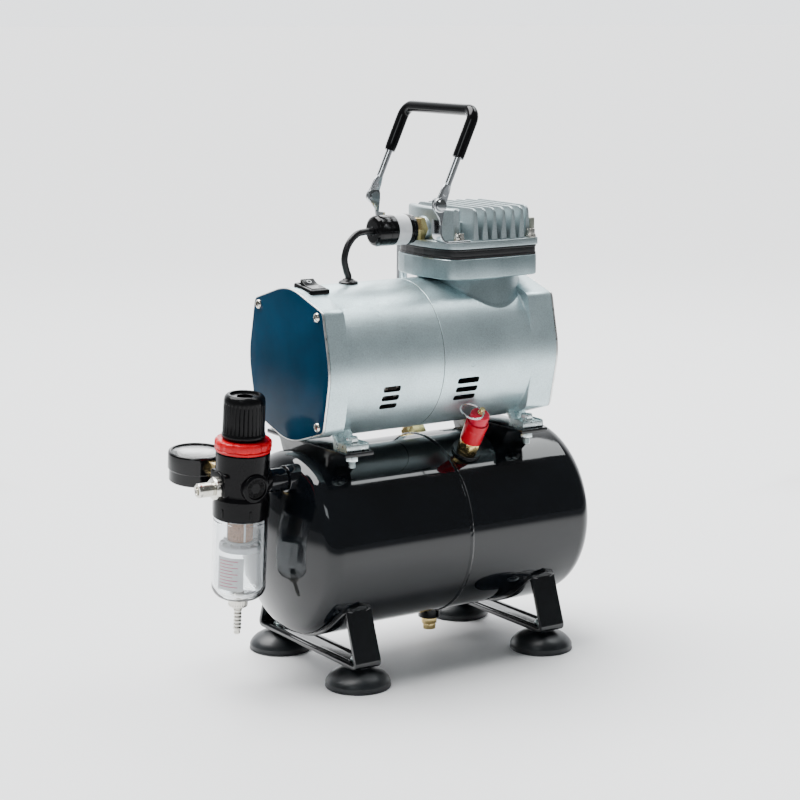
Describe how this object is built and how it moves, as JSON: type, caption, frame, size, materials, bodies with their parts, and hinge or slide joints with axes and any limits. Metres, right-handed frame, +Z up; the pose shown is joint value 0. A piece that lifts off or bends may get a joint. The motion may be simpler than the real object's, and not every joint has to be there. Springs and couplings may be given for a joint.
{
  "type": "airbrush compressor",
  "caption": "Small piston compressor on an air tank with carrying handle, pressure switch, safety valve, regulator, filter bowl and gauge.",
  "frame": {"origin": "on the floor under the middle of the machine, at the bottom centre of its bounding box", "axes": "+X towards the compressor head end, -X towards the regulator end, -Y the side with the safety valve and the hex plug (front), +Z up"},
  "size_m": [0.3028, 0.1452, 0.382],
  "materials": {
    "tank_paint": "gloss",
    "foot_rubber": "satin",
    "zinc_steel": "bright",
    "silver_casting": "satin silver paint",
    "blue_plate": "gloss",
    "nickel_steel": "polished",
    "lamination": "bare",
    "plain_steel": "turned",
    "rod_aluminium": "as cast",
    "black_plastic": "satin",
    "gasket_black": "satin",
    "pipe_chrome": "polished",
    "fitting_brass": "turned",
    "white_plastic": "smooth",
    "lead_rubber": "satin",
    "grip_sleeve": "gloss",
    "red_sleeve": "gloss",
    "red_knob": "gloss",
    "red_ring": "gloss",
    "regulator_black": "satin",
    "clear_bowl": "clear moulded",
    "filter_brown": "sintered",
    "gauge_glass": "clear",
    "needle_black": "matt"
  },
  "bodies": {
    "frame": {"tank_left": "tank_paint", "tank_right": "tank_paint", "tank_bungs": "tank_paint", "leg_frames": "tank_paint", "motor_saddles": "tank_paint", "suction_feet": "foot_rubber", "foot_screws": "zinc_steel", "motor_feet": "zinc_steel", "mount_bolts": "zinc_steel", "housing_left": "silver_casting", "housing_right": "silver_casting", "cylinder_head": "silver_casting", "end_plate_left": "blue_plate", "end_plate_right": "blue_plate", "end_plate_screws": "nickel_steel", "head_bolts": "nickel_steel", "outlet_fitting": "nickel_steel", "stator": "lamination", "bearings": "plain_steel", "cylinder_liner": "plain_steel", "regulator_spring": "plain_steel", "intake_filter": "black_plastic", "switch_cap": "black_plastic", "cord_gland": "black_plastic", "rocker_bezel": "black_plastic", "port_plug": "black_plastic", "valve_plate": "gasket_black", "delivery_pipe": "pipe_chrome", "handle_brackets": "pipe_chrome", "check_valve": "fitting_brass", "switch_nipple": "fitting_brass", "safety_body": "fitting_brass", "inlet_nipple": "fitting_brass", "pressure_switch": "white_plastic", "scale_card": "white_plastic", "gauge_dial": "white_plastic", "switch_lead": "lead_rubber", "lead_grommet": "lead_rubber", "safety_sleeve": "red_sleeve", "lock_ring": "red_ring", "regulator_body": "regulator_black", "gauge_case": "regulator_black", "filter_bowl": "clear_bowl", "filter_core": "filter_brown", "gauge_lens": "gauge_glass"},
    "handle": {"handle_bail": "pipe_chrome", "handle_grip": "grip_sleeve"},
    "crank": {"rotor": "lamination", "crankshaft": "plain_steel", "cooling_fan": "black_plastic"},
    "rod": {"connecting_rod": "rod_aluminium", "piston": "rod_aluminium"},
    "rocker_body": {"rocker": "black_plastic"},
    "adjuster": {"adjusting_screw": "plain_steel"},
    "knob": {"regulator_knob": "black_plastic"},
    "needle": {"gauge_needle": "needle_black"},
    "safety_stem": {"safety_knob": "red_knob"},
    "ring": {"pull_ring": "pipe_chrome"},
    "drain_valve": {"tank_drain": "fitting_brass"},
    "bowl_tap": {"bowl_drain": "nickel_steel"}
  },
  "joints": [
    {"name": "handle_fold", "type": "hinge", "parent": "frame", "child": "handle", "pos_m": [0.01965, 0, 0.3165], "axis": [0, 1, 0], "range_deg": [-125, 62]},
    {"name": "motor_spin", "type": "hinge", "parent": "frame", "child": "crank", "pos_m": [0, 0, 0.2122], "axis": [1, 0, 0], "continuous": true},
    {"name": "rod_swing", "type": "hinge", "parent": "crank", "child": "rod", "pos_m": [0.07185, 0, 0.2182], "axis": [1, 0, 0], "continuous": true},
    {"name": "rocker_rock", "type": "hinge", "parent": "frame", "child": "rocker_body", "pos_m": [-0.05935, -0.00687, 0.26173], "axis": [-1, 0, 0], "range_deg": [0, 20]},
    {"name": "screw_turn", "type": "hinge", "parent": "frame", "child": "adjuster", "pos_m": [-0.11835, -0.015, 0.139], "axis": [0, -0.0872, 0.9962], "range_deg": [-720, 720]},
    {"name": "knob_lift", "type": "slide", "parent": "adjuster", "child": "knob", "axis": [0, -0.0872, 0.9962], "range_m": [0, 0.003]},
    {"name": "needle_sweep", "type": "hinge", "parent": "frame", "child": "needle", "pos_m": [-0.11835, 0.04547, 0.14429], "axis": [0, 0.0872, -0.9962], "range_deg": [0, 270], "stiffness_Nm_per_rad": 0.0001},
    {"name": "safety_pull", "type": "slide", "parent": "frame", "child": "safety_stem", "axis": [0, -0.5, 0.866], "range_m": [0, 0.003], "stiffness_N_per_m": 1500, "springref_m": -0.002},
    {"name": "ring_swing", "type": "hinge", "parent": "safety_stem", "child": "ring", "pos_m": [0.04965, -0.0494, 0.17606], "axis": [0.0698, 0.8639, 0.4988], "range_deg": [0, 170]},
    {"name": "drain_turn", "type": "hinge", "parent": "frame", "child": "drain_valve", "pos_m": [0.04115, 0, 0.02], "axis": [0, 0, 1], "range_deg": [0, 540]},
    {"name": "bowl_drain_turn", "type": "hinge", "parent": "frame", "child": "bowl_tap", "pos_m": [-0.11835, -0.015, 0.139], "axis": [0, -0.0872, 0.9962], "range_deg": [0, 180]}
  ],
  "couplings": [
    {"joint": "rod_swing", "follows": "motor_spin", "ratio": -1}
  ]
}
